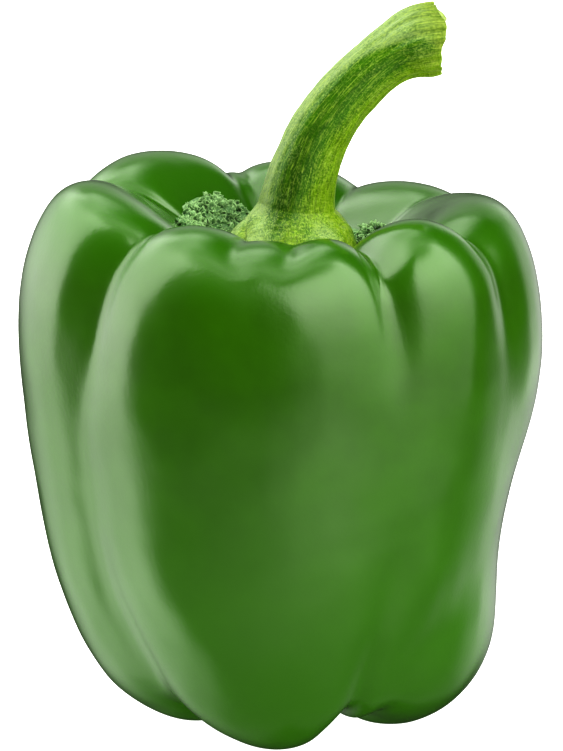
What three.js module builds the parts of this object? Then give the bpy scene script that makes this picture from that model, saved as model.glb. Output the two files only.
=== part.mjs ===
// A green bell pepper, as picked: one blocky pod with deep rounded lobes, the thick stem with the
// collar (calyx) that it widens into, and the crust of wrinkled tissue that rings the collar.
// Millimetres, +Z up, standing on the four feet of the pod. Directions round the pod are in degrees
// from the front (-Y) towards the right (+X); "along" runs down a lobe from the middle of the top
// (0) over the crest and the side to the middle of the underside (ALONG_END).
import * as THREE from 'three';

// Driving dimensions of the pod
const CORE_HEIGHT = 50; // the lobes swell out from this point on the axis
const HOLLOW_HEIGHT = 82; // floor of the hollow at the stem
const BLOSSOM_HEIGHT = 9; // dimple in the middle of the underside
const ALONG_END = 15;

// One entry for each lobe. Facing and half width are given at the crest, the belly and the foot, so
// lobes that are two at the top can run together lower down. The rest are the radius and height of
// the crest, and the radii of the shoulder, belly, waist and heel, and the radius and drop of the foot.
const LOBES = [
  { name: 'front left', facing: [-36, -17, -14], half: [22, 41, 36],
    crestR: 27, crestZ: 92.6, shoulder: 41, belly: 43.5, waist: 40, heel: 32.5, footR: 18, footZ: -0.4 },
  { name: 'front middle', facing: [-12, -17, -14], half: [26, 41, 36],
    crestR: 26, crestZ: 90.5, shoulder: 40.5, belly: 43.5, waist: 40, heel: 32.5, footR: 18, footZ: -0.4 },
  { name: 'front right', facing: [9, -17, -14], half: [18, 41, 36],
    crestR: 27, crestZ: 91.4, shoulder: 40.5, belly: 43.5, waist: 40, heel: 32.5, footR: 18, footZ: -0.4 },
  { name: 'right front', facing: [42, 41, 86], half: [18, 17, 36],
    crestR: 27, crestZ: 93.4, shoulder: 41, belly: 43, waist: 36, heel: 33, footR: 17, footZ: -0.4 },
  { name: 'right', facing: [92, 88, 88], half: [33, 31, 38],
    crestR: 29, crestZ: 91.7, shoulder: 40.3, belly: 42, waist: 34.5, heel: 34, footR: 17, footZ: -0.5 },
  { name: 'back right', facing: [139, 148, 166], half: [29, 28, 38],
    crestR: 28, crestZ: 90.2, shoulder: 41, belly: 42, waist: 37, heel: 32, footR: 18, footZ: -0.4 },
  { name: 'back', facing: [184, 176, 170], half: [23, 26, 38],
    crestR: 29, crestZ: 92.9, shoulder: 41, belly: 43, waist: 38, heel: 33, footR: 18, footZ: -0.4 },
  { name: 'back left', facing: [230, 235, 250], half: [29, 30, 44],
    crestR: 31.5, crestZ: 96.4, shoulder: 43, belly: 46, waist: 42, heel: 36, footR: 18, footZ: -0.5 },
  { name: 'left', facing: [278, 266, 264], half: [25, 27, 42], bulge: [0.4, 0.34, 0.31, 0.42, 0.45],
    crestR: 33, crestZ: 96.2, shoulder: 44, belly: 48, waist: 43.3, heel: 36, footR: 18, footZ: -0.5 },
];
// The narrow creases at the bottom of some clefts: direction at crest, belly and foot, width in
// degrees, and depth (share of the distance from the core) at crest, shoulder, belly, heel and foot.
const CREASES = [
  { at: [-53, -62, -47], width: 7, depth: [0, 0.02, 0.02, 0.03, 0.05] },
  { at: [24, 25, 18], width: 6, depth: [0.03, 0.025, 0, 0.03, 0.14] },
  { at: [60, 60, 70], width: 8, depth: [0.01, 0.01, 0, 0, 0] },
  { at: [117, 120, 120], width: 6, depth: [0, 0, 0.01, 0.02, 0.05] },
  { at: [163, 163, 163], width: 6, depth: [0.01, 0.01, 0, 0, 0] },
  { at: [204, 203, 203], width: 5, depth: [0.04, 0.04, 0.02, 0.03, 0.05] },
  { at: [256, 256, 256], width: 6, depth: [0.01, 0.01, 0, 0, 0] },
];
const FACING_STATIONS = [3.8, 7.2, 12]; // crest, belly, foot
const STATIONS = [3.6, 5.2, 7.5, 10.5, 12.5]; // crest, shoulder, belly, heel, foot
const BULGE = [0.4, 0.28, 0.14, 0.2, 0.4]; // how round a lobe is across, at STATIONS, if it says nothing
const CLEFT_SOFTNESS = [0.011, 0.014, 0.016, 0.018, 0.008]; // how wide the clefts are rounded out
const SOFTNESS_REACH = 45; // distance from the core that the softness is a share of
const CLEFT_TURN = 30; // a lobe's half width spans this much of its rounded section, in degrees
const CREASE_EDGE = 1.6; // how steeply a crease's sides fall
const ROUND_MIDDLE = 0.6; // the lobes fade in this far from the middle of the top and the underside
const FADE = { top: 3, underside: 2.4 };

// Driving dimensions of the stem: the middle of each cut through it (x, z) and its radius
const STEM_LINE = [
  { x: -0.1, z: 80, r: 8 }, { x: -0.1, z: 86, r: 7.4 }, { x: 0.1, z: 92, r: 6.5 },
  { x: 1.2, z: 98.2, r: 5.75 }, { x: 3.6, z: 104.4, r: 5.35 }, { x: 7.1, z: 109.8, r: 5 },
  { x: 11.4, z: 114.7, r: 4.8 }, { x: 15.9, z: 118.6, r: 4.75 }, { x: 20.1, z: 120.9, r: 6 },
  { x: 25.4, z: 121.4, r: 6.1 }, { x: 31, z: 121.5, r: 6.1 },
];
const STEM_FROM = 2; // first and last place along STEM_LINE that the round stem covers
const STEM_TO = 9;
const STEM_RIBS = 5;
const STEM_RIB_DEPTH = 0.02;
const COLLAR_REACH = 1.62; // how far along the hollow's floor the collar lies
const COLLAR_THICKNESS = 1.6;
const COLLAR_POINTS = 6;
const COLLAR_WAVE = 0.4;
const COLLAR_LIP = 0.8;
const CUT_HOLLOW = 0.9; // how far the cut end sinks in its middle

// Driving dimensions of the crust
const CRUST_FROM = 1.74; // along the hollow's floor
const CRUST_TO = 2.15;
const CRUST_WIDER_LEFT = 0.6;
const CRUST_SKIN = 0.5;
const CRUST_HEIGHT = { all: 0.8, left: 3.4, right: 0.8 };
const CRUST_PEAK = { left: { at: -110, spread: 42 }, right: { at: 78, spread: 30 }, wide: 60 };
const CRUST_NUBS = { round: 13, across: 11, skew: 5 };

const GAP = 0.3; // between pieces that touch
const POD_COLUMNS = 104;
const POD_ROWS = 46;
const STEM_COLUMNS = 32;
const STEM_ROWS = 24;
const CRUST_COLUMNS = 91;
const CRUST_ROWS = 7;

const radians = THREE.MathUtils.degToRad;
const smooth = (t) => THREE.MathUtils.smoothstep(t, 0, 1);
const wrapDegrees = (a) => THREE.MathUtils.euclideanModulo(a + 180, 360) - 180;
const hill = (azimuth, { at, spread }) => Math.exp(-((wrapDegrees(azimuth - at) / spread) ** 2));
const directions = (columns) => Array.from({ length: columns }, (_, j) => -180 + (360 * j) / columns);
const steps = (from, to, count) => Array.from(
  { length: count }, (_, i) => from + ((to - from) * i) / (count - 1));

// A value given at some stations, eased from each to the next
function between(stations, values, along) {
  let i = 0;
  while (i < stations.length - 2 && along > stations[i + 1]) i += 1;
  const t = smooth((along - stations[i]) / (stations[i + 1] - stations[i]));
  return values[i] * (1 - t) + values[i + 1] * t;
}

// The four weights of a uniform cubic B-spline
function splineWeights(t) {
  return [(1 - t) ** 3 / 6, (3 * t ** 3 - 6 * t ** 2 + 4) / 6,
    (-3 * t ** 3 + 3 * t ** 2 + 3 * t + 1) / 6, t ** 3 / 6];
}

// Control points (radius, height) of one lobe's outline, from the stem over the crest to the base
function lobeOutline(lobe) {
  const { crestR, crestZ, shoulder, belly, waist, heel, footR, footZ } = lobe;
  return [
    [0, HOLLOW_HEIGHT], [7, HOLLOW_HEIGHT], [15, HOLLOW_HEIGHT + 2],
    [crestR - 4, crestZ + 0.3], [crestR + 6, crestZ + 1.2], [shoulder, crestZ - 5],
    [belly + 0.5, crestZ - 18], [belly, 60], [0.45 * belly + 0.55 * waist, 44], [waist, 29],
    [heel + 1.5, 15], [heel - 4, 5.5], [footR + 3, footZ - 1], [footR - 8, footZ + 0.3],
    [6, BLOSSOM_HEIGHT], [0, BLOSSOM_HEIGHT],
  ];
}

// A point on that outline; past either end it runs on as its own mirror image
function outlinePoint(outline, along) {
  const i = Math.min(Math.floor(along), ALONG_END - 1);
  const weights = splineWeights(along - i);
  let r = 0;
  let z = 0;
  weights.forEach((w, k) => {
    let j = i - 1 + k;
    let side = 1;
    if (j < 0 || j > ALONG_END) {
      j = j < 0 ? -j : 2 * ALONG_END - j;
      side = -1;
    }
    r += w * side * outline[j][0];
    z += w * outline[j][1];
  });
  return [r, z];
}

const outlines = LOBES.map(lobeOutline);

// The pod's skin. Each lobe is a rounded section round its own facing; where two meet, the outer
// one wins, with the cleft between them rounded out, and the creases are cut in last.
function podPoint(azimuth, along) {
  const softness = between(STATIONS, CLEFT_SOFTNESS, along);
  const lobed = smooth((along - ROUND_MIDDLE) / FADE.top)
    * smooth((ALONG_END - ROUND_MIDDLE - along) / FADE.underside);
  const parts = LOBES.map((lobe, i) => {
    const [r, z] = outlinePoint(outlines[i], along);
    const bulge = between(STATIONS, lobe.bulge ?? BULGE, along);
    const off = wrapDegrees(azimuth - between(FACING_STATIONS, lobe.facing, along));
    const turn = (off / between(FACING_STATIONS, lobe.half, along)) * CLEFT_TURN;
    const a = radians(THREE.MathUtils.clamp(turn, -90, 90));
    const section = bulge * Math.cos(a) + Math.sqrt((1 - bulge) ** 2 - (bulge * Math.sin(a)) ** 2);
    const reach = Math.hypot(r, z - CORE_HEIGHT) / SOFTNESS_REACH;
    return { r, z: z - CORE_HEIGHT, section, size: section * reach };
  });
  const largest = Math.max(...parts.map((p) => p.size));
  let total = 0;
  let r = 0;
  let z = 0;
  for (const p of parts) {
    const weight = Math.exp((p.size - largest) / softness);
    const swell = 1 + (p.section - 1) * lobed;
    total += weight;
    r += weight * p.r * swell;
    z += weight * p.z * swell;
  }
  let keep = 1;
  for (const crease of CREASES) {
    const off = wrapDegrees(azimuth - between(FACING_STATIONS, crease.at, along)) / crease.width;
    keep -= (between(STATIONS, crease.depth, along) * lobed) / Math.cosh(CREASE_EDGE * off);
  }
  const radius = (r / total) * keep;
  const height = Math.max((z / total) * keep + CORE_HEIGHT, 0);
  const a = radians(azimuth);
  return new THREE.Vector3(radius * Math.sin(a), -radius * Math.cos(a), height);
}

// A closed body from rows of points round the axis. A row of one point is a pole; a ring joins its
// last row to its first.
function bodyFromRows(rows, { ring = false, inward = false } = {}) {
  const start = [];
  const positions = [];
  for (const row of rows) {
    start.push(positions.length / 3);
    row.forEach((p) => positions.push(p.x, p.y, p.z));
  }
  const columns = Math.max(...rows.map((row) => row.length));
  const index = [];
  const face = (a, b, c) => index.push(...(inward ? [a, c, b] : [a, b, c]));
  const at = (i, j) => start[i] + (j % rows[i].length);
  const last = ring ? rows.length : rows.length - 1;
  for (let i = 0; i < last; i += 1) {
    const next = (i + 1) % rows.length;
    for (let j = 0; j < columns; j += 1) {
      if (rows[next].length > 1) face(at(i, j), at(next, j), at(next, j + 1));
      if (rows[i].length > 1) face(at(i, j), at(next, j + 1), at(i, j + 1));
    }
  }
  const geometry = new THREE.BufferGeometry();
  geometry.setAttribute('position', new THREE.Float32BufferAttribute(positions, 3));
  geometry.setIndex(index);
  geometry.computeVertexNormals();
  return geometry;
}

function podGeometry() {
  const rows = steps(0, ALONG_END, POD_ROWS).map((along, i) => {
    const pole = i === 0 || i === POD_ROWS - 1;
    return (pole ? [0] : directions(POD_COLUMNS)).map((azimuth) => podPoint(azimuth, along));
  });
  return bodyFromRows(rows);
}

// Middle, radius and direction of the stem at one place along its line
function stemSection(at) {
  const i = Math.floor(Math.min(at, STEM_LINE.length - 2.001));
  const mix = (weights) => ['x', 'z', 'r'].map(
    (key) => weights.reduce((sum, w, k) => sum + w * STEM_LINE[i - 1 + k][key], 0));
  const t = at - i;
  const slopes = [-((1 - t) ** 2) / 2, (3 * t ** 2 - 4 * t) / 2, (-3 * t ** 2 + 2 * t + 1) / 2, t ** 2 / 2];
  const [x, z, r] = mix(splineWeights(t));
  const [dx, dz] = mix(slopes);
  const length = Math.hypot(dx, dz);
  return { x, z, r, across: [dz / length, -dx / length], ahead: [dx / length, dz / length] };
}

function stemRing(at) {
  const { x, z, r, across } = stemSection(at);
  return directions(STEM_COLUMNS).map((azimuth) => {
    const a = radians(azimuth);
    const rib = r * (1 + STEM_RIB_DEPTH * Math.cos(STEM_RIBS * a + 0.6));
    const side = rib * Math.sin(a);
    return new THREE.Vector3(x + across[0] * side, -rib * Math.cos(a), z + across[1] * side);
  });
}

// The collar's top: one curve for each direction, from its rim on the hollow's floor to the stem
function collarRing(t, rim, foot) {
  return directions(STEM_COLUMNS).map((azimuth, j) => {
    const a = radians(azimuth);
    const rimR = Math.hypot(rim[j].x, rim[j].y);
    const footR = Math.hypot(foot[j].x, foot[j].y);
    const top = rim[j].z + COLLAR_THICKNESS + COLLAR_WAVE * Math.cos(COLLAR_POINTS * a);
    const curve = new THREE.CubicBezierCurve(
      new THREE.Vector2(rimR, rim[j].z),
      new THREE.Vector2(rimR + COLLAR_LIP, top + 0.3),
      new THREE.Vector2(footR + 1.6, top - 0.2),
      new THREE.Vector2(footR, foot[j].z),
    );
    const p = curve.getPoint(t);
    return new THREE.Vector3(p.x * Math.sin(a), -p.x * Math.cos(a), p.y);
  });
}

function stemGeometry() {
  const lift = new THREE.Vector3(0, 0, GAP);
  const floorRow = (along) => directions(STEM_COLUMNS).map((a) => podPoint(a, along).add(lift));
  const rim = floorRow(COLLAR_REACH);
  const foot = stemRing(STEM_FROM);
  const end = stemSection(STEM_TO);
  const cut = new THREE.Vector3(
    end.x - end.ahead[0] * CUT_HOLLOW, 0, end.z - end.ahead[1] * CUT_HOLLOW);
  const rows = [
    [podPoint(0, 0).add(lift)],
    ...steps(0.5, COLLAR_REACH, 4).slice(0, -1).map(floorRow),
    rim,
    ...steps(0, 1, 8).slice(1, -1).map((t) => collarRing(t, rim, foot)),
    ...steps(STEM_FROM, STEM_TO, STEM_ROWS).map(stemRing),
    [cut],
  ];
  return bodyFromRows(rows, { inward: true });
}

// Height of the crust over the hollow's floor; the nubs are a formula of the place on it
function crustHeight(azimuth, t) {
  const a = radians(azimuth);
  const height = CRUST_HEIGHT.all + CRUST_HEIGHT.left * hill(azimuth, CRUST_PEAK.left)
    + CRUST_HEIGHT.right * hill(azimuth, CRUST_PEAK.right);
  const mound = Math.sin(Math.PI * t) ** 0.7;
  const along = 0.5 + 0.5 * Math.sin(CRUST_NUBS.round * a + CRUST_NUBS.skew * t + 2 * Math.sin(3 * a));
  const across = 0.5 + 0.5 * Math.sin(CRUST_NUBS.across * t + 3 * Math.sin(7 * a));
  return CRUST_SKIN + height * mound * (0.5 + 0.8 * along * across);
}

function crustGeometry() {
  const wide = { at: CRUST_PEAK.left.at, spread: CRUST_PEAK.wide };
  const row = (t, raise) => directions(CRUST_COLUMNS).map((azimuth) => {
    const outer = CRUST_TO + CRUST_WIDER_LEFT * hill(azimuth, wide);
    const p = podPoint(azimuth, CRUST_FROM + (outer - CRUST_FROM) * t);
    p.z += GAP + (raise ? crustHeight(azimuth, t) : 0);
    return p;
  });
  const top = steps(0, 1, CRUST_ROWS).map((t) => row(t, true));
  const under = steps(1, 0, 4).map((t) => row(t, false));
  return bodyFromRows([...top, ...under], { ring: true });
}

function piece(name, geometry, color, roughness) {
  const mesh = new THREE.Mesh(geometry, new THREE.MeshStandardMaterial({ color, roughness, metalness: 0 }));
  mesh.name = name;
  return mesh;
}

const pepper = new THREE.Group();
pepper.add(piece('fruit', podGeometry(), 0x3f7a1f, 0.3));
pepper.add(piece('stem', stemGeometry(), 0x86ab45, 0.6));
pepper.add(piece('calyx_crust', crustGeometry(), 0x4f7a3c, 0.8));

// The origin is the middle of the footprint, on the ground
const middle = new THREE.Box3().setFromObject(pepper).getCenter(new THREE.Vector3());
pepper.position.set(-middle.x, -middle.y, 0);

export default pepper;
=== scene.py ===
import math

import bpy
import numpy as np
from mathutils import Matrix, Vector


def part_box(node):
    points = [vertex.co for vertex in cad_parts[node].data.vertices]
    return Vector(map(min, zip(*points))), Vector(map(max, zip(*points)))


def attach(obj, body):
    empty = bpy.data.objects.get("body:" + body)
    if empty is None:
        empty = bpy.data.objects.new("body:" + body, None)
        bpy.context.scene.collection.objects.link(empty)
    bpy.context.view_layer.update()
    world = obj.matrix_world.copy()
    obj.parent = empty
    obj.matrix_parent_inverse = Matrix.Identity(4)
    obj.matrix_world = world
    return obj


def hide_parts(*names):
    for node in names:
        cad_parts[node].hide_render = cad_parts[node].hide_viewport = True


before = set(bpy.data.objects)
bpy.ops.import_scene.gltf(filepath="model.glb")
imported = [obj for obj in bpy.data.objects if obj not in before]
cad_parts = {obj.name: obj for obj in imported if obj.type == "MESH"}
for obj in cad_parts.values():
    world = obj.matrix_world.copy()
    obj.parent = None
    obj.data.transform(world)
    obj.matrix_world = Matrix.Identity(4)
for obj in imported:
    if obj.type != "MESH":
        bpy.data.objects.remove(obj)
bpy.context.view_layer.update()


# The pod
# One hollow fruit with a firm, waxy skin. It grows as four lobes round a core, each swelling out
# from its own middle, with clefts left between them; the top sinks to a hollow round the stem.
MM = 0.001  # sizes are in mm, and become metres where a mesh or a material is made
CORE_HEIGHT = 50.0  # the lobes swell out from this point on the axis
HOLLOW_HEIGHT = 82.0  # floor of the hollow at the stem
HOLLOW_FLOOR = ((0, 0), (7, 0), (15, 2))  # its radius, and its rise above that
CREST_BEND = ((-4, 0.3), (6, 1.2))  # the outline bends over here, out and up from the crest
SHOULDER_DROP = 5  # below the crest
BELLY_SWELL, BELLY_DROP = 0.5, 18  # the top of the belly, wider than its middle, below the crest
BELLY_HEIGHT, FLANK_HEIGHT, WAIST_HEIGHT = 60, 44, 29
FLANK_SHARES = (0.45, 0.55)  # the flank's radius, from the belly's and the waist's
HEEL_BEND = ((1.5, 15), (-4, 5.5))  # out from the heel's radius, and height
FOOT_BEND = ((3, -1), (-8, 0.3))  # out and up from the foot
BLOSSOM_RADIUS, BLOSSOM_HEIGHT = 6, 9.0  # dimple in the middle of the underside
ALONG_END = 15  # places along a lobe run from the stem (0) over the crest to the underside
CREST, BELLY, FOOT = 3.8, 7.2, 12.0
FACING_PLACES = (CREST, BELLY, FOOT)
FORM_PLACES = (3.6, 5.2, 7.5, 10.5, 12.5)  # crest, shoulder, belly, heel and foot
BULGE = (0.40, 0.28, 0.14, 0.20, 0.40)  # how round a lobe is across, at FORM_PLACES
OTHER_BULGES = {
    "left": (0.40, 0.34, 0.31, 0.42, 0.45),  # bulges out on its own
    "right": (0.36, 0.16, 0.07, 0.20, 0.40),  # keeps nearly to the circle of the pod
}
CLEFT_SOFTNESS = (0.011, 0.014, 0.016, 0.018, 0.008)  # at FORM_PLACES
SOFTNESS_REACH = 45.0  # distance from the core at which the softness holds
CLEFT_TURN = 30.0  # degrees of a lobe's round section that its half width takes up
ROUND_MIDDLE = 0.6  # the lobes fade in this far from the middle of the top and the underside
FADE_TOP = 3.0
FADE_UNDERSIDE = 2.4
# Each lobe: the direction it faces and its half width, in degrees from the front towards the right,
# at crest, belly and foot; radius and height of the crest; radii of shoulder, belly, waist and heel;
# radius and height of the foot. Lobes that meet lower down share one direction there.
LOBES = (
    ("front left", (-36, -17, -14), (22, 41, 39), (27.0, 92.6), (41.0, 43.5, 40.0, 32.5), (15.6, -0.4)),
    ("front middle", (-12, -17, -14), (26, 41, 39), (26.0, 90.8), (42.0, 43.5, 40.0, 32.5), (15.6, -0.4)),
    ("front right", (9, -17, -14), (18, 41, 39), (27.0, 91.4), (40.5, 43.5, 40.0, 32.5), (15.6, -0.4)),
    ("right front", (42, 41, 86), (18, 17, 36), (27.0, 93.4), (41.0, 43.0, 36.0, 33.0), (17, -0.4)),
    ("right", (90, 82, 88), (35, 37, 38), (28.2, 92.5), (39.6, 42.0, 34.5, 34.0), (17, -0.5)),
    ("back right", (139, 148, 166), (31, 28, 38), (28.0, 90.6), (41.0, 42.0, 37.0, 32.0), (18, -0.4)),
    ("back", (184, 176, 170), (23, 26, 38), (29.0, 92.9), (41.0, 43.0, 38.0, 33.0), (18, -0.4)),
    ("back left", (230, 235, 250), (29, 30, 44), (31.5, 96.4), (43.0, 46.0, 42.0, 36.0), (18, -0.5)),
    ("left", (278, 266, 264), (25, 27, 42), (33.0, 96.2), (44.0, 48.0, 43.6, 36.9), (18, -0.5)),
)
# The narrow creases at the bottom of some clefts: direction at crest, belly and foot, width in
# degrees, and depth as a share of the distance from the core, at FORM_PLACES.
CREASES = (
    ((-53, -62, -47), 8, (0.0, 0.02, 0.013, 0.022, 0.05)),
    ((24, 25, 18), 6, (0.03, 0.025, 0.0, 0.04, 0.16)),
    ((60, 60, 70), 8, (0.01, 0.01, 0.0, 0.0, 0.0)),
    ((117, 120, 120), 6, (0.0, 0.0, 0.01, 0.02, 0.05)),
    ((163, 163, 163), 6, (0.01, 0.01, 0.0, 0.0, 0.0)),
    ((204, 203, 203), 5, (0.04, 0.04, 0.02, 0.03, 0.05)),
    ((256, 256, 256), 6, (0.01, 0.01, 0.0, 0.0, 0.0)),
)
CREASE_EDGE = 1.6  # how steeply a crease's sides fall
POD_COLUMNS = 380
POD_ROWS = 230
SKIN_SWELLS = ((15.0, 0.10), (6.0, 0.025))  # length and height of the skin's slow unevenness
SWELL_WAVES = 26  # how many waves make up an unevenness
SWELL_LENGTHS = (0.7, 1.5)  # their lengths, as shares of its own
LEAST_LENGTH = 1e-9  # stands in for no length at all, where a row of points has shrunk to one


def ease(t):
    """Runs from 0 to 1 with a soft start and end, and stays there beyond them."""
    t = np.clip(t, 0, 1)
    return t * t * (3 - 2 * t)


def between(places, values, along):
    """A value given at some places, eased from each to the next."""
    places, values = np.array(places, float), np.array(values, float)
    i = np.clip(np.searchsorted(places, along, side="left") - 1, 0, len(places) - 2)
    t = ease((along - places[i]) / (places[i + 1] - places[i]))
    return values[i] * (1 - t) + values[i + 1] * t


def spline_weights(t):
    """Shares of four control points in a row, on the way from the second to the third."""
    first = (1 - t) ** 3 / 6
    second = (3 * t**3 - 6 * t**2 + 4) / 6
    third = (-3 * t**3 + 3 * t**2 + 3 * t + 1) / 6
    return first, second, third, t**3 / 6


def off_direction(azimuth, facing):
    """Degrees from a direction to another, the short way round."""
    return (azimuth - facing + 180) % 360 - 180


def lobe_outline(crest, radii, foot):
    """Control points (radius, height) of a lobe from the stem over the crest to the underside.
    Past either end the outline runs on as its own mirror image."""
    (crest_r, crest_z), (shoulder, belly, waist, heel), (foot_r, foot_z) = crest, radii, foot
    points = [
        *((r, HOLLOW_HEIGHT + up) for r, up in HOLLOW_FLOOR),
        *((crest_r + out, crest_z + up) for out, up in CREST_BEND),
        (shoulder, crest_z - SHOULDER_DROP),
        (belly + BELLY_SWELL, crest_z - BELLY_DROP),
        (belly, BELLY_HEIGHT),
        (FLANK_SHARES[0] * belly + FLANK_SHARES[1] * waist, FLANK_HEIGHT),
        (waist, WAIST_HEIGHT),
        *((heel + out, z) for out, z in HEEL_BEND),
        *((foot_r + out, foot_z + up) for out, up in FOOT_BEND),
        (BLOSSOM_RADIUS, BLOSSOM_HEIGHT),
        (0, BLOSSOM_HEIGHT),
    ]
    before, after = [(-r, z) for r, z in (points[1], points[-2])]
    return np.array([before, *points, after], float)


def pod_point(azimuth, along):
    """Points of the pod's skin. Each lobe is a rounded section round its own direction; where two
    meet the outer one wins, with the cleft rounded out, and the creases are cut in last."""
    azimuth, along = np.broadcast_arrays(np.asarray(azimuth, float), np.asarray(along, float))
    softness = between(FORM_PLACES, CLEFT_SOFTNESS, along)
    lobed = ease((along - ROUND_MIDDLE) / FADE_TOP)
    lobed = lobed * ease((ALONG_END - ROUND_MIDDLE - along) / FADE_UNDERSIDE)
    i = np.minimum(along.astype(int), ALONG_END - 1)
    weights = spline_weights(along - i)
    radii, heights, sizes, sections = [], [], [], []
    for name, facing, half, crest, lobe_radii, foot in LOBES:
        bulge = between(FORM_PLACES, OTHER_BULGES.get(name, BULGE), along)
        outline = lobe_outline(crest, lobe_radii, foot)
        r = sum(w * outline[i + k, 0] for k, w in enumerate(weights))
        z = sum(w * outline[i + k, 1] for k, w in enumerate(weights)) - CORE_HEIGHT
        turn = off_direction(azimuth, between(FACING_PLACES, facing, along))
        turn = turn / between(FACING_PLACES, half, along) * CLEFT_TURN
        a = np.radians(np.clip(turn, -90, 90))
        section = bulge * np.cos(a) + np.sqrt((1 - bulge) ** 2 - (bulge * np.sin(a)) ** 2)
        radii.append(r)
        heights.append(z)
        sections.append(section)
        sizes.append(section * np.hypot(r, z) / SOFTNESS_REACH)
    share = np.exp((np.array(sizes) - np.max(sizes, axis=0)) / softness)
    share = share / share.sum(axis=0) * (1 + (np.array(sections) - 1) * lobed)
    keep = np.ones_like(along)
    for at, width, depth in CREASES:
        off = off_direction(azimuth, between(FACING_PLACES, at, along)) / width
        keep = keep - between(FORM_PLACES, depth, along) * lobed / np.cosh(CREASE_EDGE * off)
    radius = (share * radii).sum(axis=0) * keep
    height = np.maximum((share * heights).sum(axis=0) * keep + CORE_HEIGHT, 0)
    a = np.radians(azimuth)
    return np.stack([radius * np.sin(a), -radius * np.cos(a), height], axis=-1)


def swells(points, size, seed):
    """An even, smooth unevenness of about -1 to 1: many sine waves of about one length."""
    rng = np.random.default_rng(seed)
    headings = rng.normal(size=(SWELL_WAVES, 3))
    headings /= np.linalg.norm(headings, axis=1, keepdims=True)
    waves = headings * (2 * np.pi / (size * rng.uniform(*SWELL_LENGTHS, (SWELL_WAVES, 1))))
    phases = rng.uniform(0, 2 * np.pi, SWELL_WAVES)
    total = sum(np.sin(points @ w + p) for w, p in zip(waves, phases))
    return total / math.sqrt(2 * SWELL_WAVES)


def outward(grid):
    """Unit normals of a grid of points (rows from the stem outwards, columns right round)."""
    down = np.gradient(grid, axis=0)
    round_ = np.roll(grid, -1, axis=1) - np.roll(grid, 1, axis=1)
    normal = np.cross(down, round_)
    return normal / np.maximum(np.linalg.norm(normal, axis=-1, keepdims=True), LEAST_LENGTH)


pod_directions = np.linspace(-180, 180, POD_COLUMNS, endpoint=False)[None, :]
pod_places = np.linspace(0, ALONG_END, POD_ROWS)[:, None]
pod = pod_point(pod_directions, pod_places)
pod_normals = outward(pod)
for seed, (size, height) in enumerate(SKIN_SWELLS):
    pod = pod + pod_normals * (height * swells(pod, size, seed))[..., None]
pod[0] = pod[0].mean(axis=0)
pod[-1] = pod[-1].mean(axis=0)
pod[..., 2] = np.maximum(pod[..., 2], 0)

# The formulas' axis is the pod's own; the frame's origin is under the middle of the whole part.
fruit_low, fruit_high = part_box("fruit")
AXIS = np.array([
    (fruit_low.x + fruit_high.x) / 2 / MM - (pod[..., 0].min() + pod[..., 0].max()) / 2,
    (fruit_low.y + fruit_high.y) / 2 / MM - (pod[..., 1].min() + pod[..., 1].max()) / 2,
    0,
])


def grown_piece(name, grids, material, inward=False, poles=(False, False), ring=False):
    """A smooth mesh from grids of points, each closed right round. A pole closes its end row to a
    point, and ring joins the last row to the first. Gives back the numbers of the points used, too."""
    points, faces = [], []
    for grid in grids:
        rows, columns = grid.shape[:2]
        number = np.arange(rows * columns).reshape(rows, columns)
        if poles[0]:
            number[0] = number[0, 0]
        if poles[1]:
            number[-1] = number[-1, 0]
        if ring:
            number = np.vstack([number, number[:1]])
        a, b = number[:-1], number[1:]
        quads = np.stack([a, b, np.roll(b, -1, axis=1), np.roll(a, -1, axis=1)], axis=-1)
        quads = quads.reshape(-1, 4)
        if inward:
            quads = quads[:, ::-1]
        faces.append(quads + sum(len(p) for p in points))
        points.append(grid.reshape(-1, 3))
    points, quads = np.concatenate(points), np.concatenate(faces)
    used = np.unique(quads)
    new = np.full(len(points), -1)
    new[used] = np.arange(len(used))
    corners = [list(dict.fromkeys(face)) for face in new[quads].tolist()]
    mesh = bpy.data.meshes.new(name)
    mesh.from_pydata(((points[used] + AXIS) * MM).tolist(), [], corners)
    mesh.shade_smooth()
    mesh.materials.append(material)
    piece = bpy.data.objects.new(name, mesh)
    bpy.context.scene.collection.objects.link(piece)
    return piece, used


def linear(colour):
    """A linear colour from an sRGB hex one."""
    parts = [int(colour[i:i + 2], 16) / 255 for i in (1, 3, 5)]
    return [p / 12.92 if p <= 0.04045 else ((p + 0.055) / 1.055) ** 2.4 for p in parts] + [1.0]


def node(material, kind, inputs=None, **settings):
    """Adds a node: its settings, and for each input a value or the output that feeds it."""
    made = material.node_tree.nodes.new(kind)
    for name, value in settings.items():
        setattr(made, name, value)
    for name, value in (inputs or {}).items():
        if isinstance(value, bpy.types.NodeSocket):
            material.node_tree.links.new(value, made.inputs[name])
        else:
            made.inputs[name].default_value = value
    return made


def finish_named(name):
    """An empty node material of that name."""
    material = bpy.data.materials.new(name)
    material.use_nodes = True
    material.node_tree.nodes.clear()
    return material


def mix(material, share, first, second):
    """A colour between two; each is a hex colour or an output."""
    colours = [linear(c) if isinstance(c, str) else c for c in (first, second)]
    return node(material, "ShaderNodeMix", {"Factor": share, 6: colours[0], 7: colours[1]},
                data_type="RGBA").outputs[2]


def ramp(material, value, limits, to=(0.0, 1.0), shape="LINEAR"):
    """Takes a value between two limits to another range, and holds it at the ends of that."""
    return node(material, "ShaderNodeMapRange", {
        "Value": value, "From Min": limits[0], "From Max": limits[1], "To Min": to[0], "To Max": to[1],
    }, interpolation_type=shape).outputs["Result"]


def tinted(material, colour, pattern, limits, share, tint):
    """The colour with a tint over it, which fades in to a share as the pattern crosses its limits."""
    return mix(material, ramp(material, pattern, limits, (0.0, share)), colour, tint)


def calculate(material, operation, *values):
    return node(material, "ShaderNodeMath", dict(enumerate(values)), operation=operation).outputs["Value"]


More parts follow.
